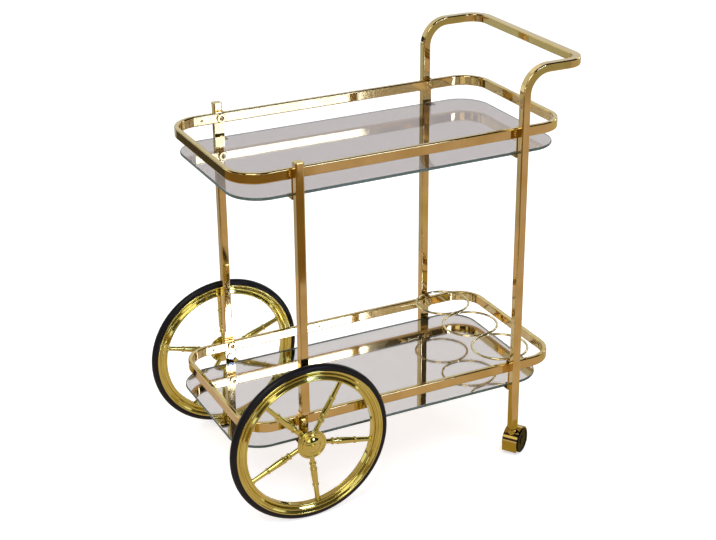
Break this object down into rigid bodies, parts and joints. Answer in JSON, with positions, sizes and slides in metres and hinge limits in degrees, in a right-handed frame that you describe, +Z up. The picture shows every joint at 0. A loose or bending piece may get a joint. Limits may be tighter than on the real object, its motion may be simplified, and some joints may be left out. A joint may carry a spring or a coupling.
{
  "type": "serving trolley",
  "caption": "Polished gold-plated serving trolley with glass top shelf, mirror lower shelf, gallery rails, bottle rings, large spoked wheels and hooded casters",
  "frame": {"origin": "centre of the footprint on the floor", "axes": "+X from the large wheels towards the push handle, +Z up, -Y the front long side"},
  "size_m": [0.706, 0.433, 0.7623],
  "materials": {
    "frame_gold": "polished yellow-gold electroplate on steel tube",
    "wheel_gold": "polished yellow-gold electroplate on castings and turned parts",
    "clear_glass": "clear float glass, polished edge",
    "mirror_glass": "silvered glass, polished edge",
    "clear_pad": "clear soft plastic",
    "tyre_rubber": "smooth black rubber",
    "caster_black": "moulded black plastic",
    "socket_plastic": "moulded black plastic",
    "zinc_steel": "bright zinc-plated steel"
  },
  "bodies": {
    "frame": {"front_left_post": "frame_gold", "rear_left_post": "frame_gold", "post_caps": "frame_gold", "handle_tube": "frame_gold", "upper_rail": "frame_gold", "lower_rail": "frame_gold", "upper_rail_spacers": "frame_gold", "lower_rail_spacers": "frame_gold", "upper_cup_washers": "frame_gold", "lower_cup_washers": "frame_gold", "upper_rail_screws": "frame_gold", "lower_rail_screws": "frame_gold", "dome_nuts": "frame_gold", "rail_rivets": "frame_gold", "upper_glass_clips": "frame_gold", "lower_glass_clips": "frame_gold", "upper_clip_pads": "clear_pad", "lower_clip_pads": "clear_pad", "upper_glass": "clear_glass", "lower_mirror": "mirror_glass", "bottle_rings": "frame_gold", "ring_lugs": "frame_gold", "front_stub_axle": "zinc_steel", "rear_stub_axle": "zinc_steel", "front_axle_spool": "wheel_gold", "rear_axle_spool": "wheel_gold", "front_wheel_nut": "zinc_steel", "rear_wheel_nut": "zinc_steel", "front_caster_socket": "socket_plastic", "rear_caster_socket": "socket_plastic"},
    "front_wheel": {"front_tyre": "tyre_rubber", "front_rim": "wheel_gold", "front_spokes": "wheel_gold", "front_hub": "wheel_gold", "front_hub_cap": "wheel_gold"},
    "rear_wheel": {"rear_tyre": "tyre_rubber", "rear_rim": "wheel_gold", "rear_spokes": "wheel_gold", "rear_hub": "wheel_gold", "rear_hub_cap": "wheel_gold"},
    "front_caster": {"front_caster_hood": "frame_gold", "front_caster_stem": "zinc_steel", "front_caster_pin": "zinc_steel"},
    "front_caster_roller_left": {"front_caster_wheel_left": "caster_black"},
    "front_caster_roller_right": {"front_caster_wheel_right": "caster_black"},
    "rear_caster": {"rear_caster_hood": "frame_gold", "rear_caster_stem": "zinc_steel", "rear_caster_pin": "zinc_steel"},
    "rear_caster_roller_left": {"rear_caster_wheel_left": "caster_black"},
    "rear_caster_roller_right": {"rear_caster_wheel_right": "caster_black"}
  },
  "joints": [
    {"name": "front_wheel_spin", "type": "hinge", "parent": "frame", "child": "front_wheel", "pos_m": [-0.203, -0.19725, 0.15], "axis": [0, 1, 0], "continuous": true},
    {"name": "rear_wheel_spin", "type": "hinge", "parent": "frame", "child": "rear_wheel", "pos_m": [-0.203, 0.19725, 0.15], "axis": [0, 1, 0], "continuous": true},
    {"name": "front_caster_swivel", "type": "hinge", "parent": "frame", "child": "front_caster", "pos_m": [0.227, -0.17725, 0.0527], "axis": [0, 0, 1], "continuous": true},
    {"name": "front_caster_roll_left", "type": "hinge", "parent": "front_caster", "child": "front_caster_roller_left", "pos_m": [0.23806, -0.16951, 0.024], "axis": [-0.5736, 0.8192, 0], "continuous": true},
    {"name": "front_caster_roll_right", "type": "hinge", "parent": "front_caster", "child": "front_caster_roller_right", "pos_m": [0.23806, -0.16951, 0.024], "axis": [-0.5736, 0.8192, 0], "continuous": true},
    {"name": "rear_caster_swivel", "type": "hinge", "parent": "frame", "child": "rear_caster", "pos_m": [0.227, 0.17725, 0.0527], "axis": [0, 0, 1], "continuous": true},
    {"name": "rear_caster_roll_left", "type": "hinge", "parent": "rear_caster", "child": "rear_caster_roller_left", "pos_m": [0.23806, 0.18499, 0.024], "axis": [-0.5736, 0.8192, 0], "continuous": true},
    {"name": "rear_caster_roll_right", "type": "hinge", "parent": "rear_caster", "child": "rear_caster_roller_right", "pos_m": [0.23806, 0.18499, 0.024], "axis": [-0.5736, 0.8192, 0], "continuous": true}
  ]
}
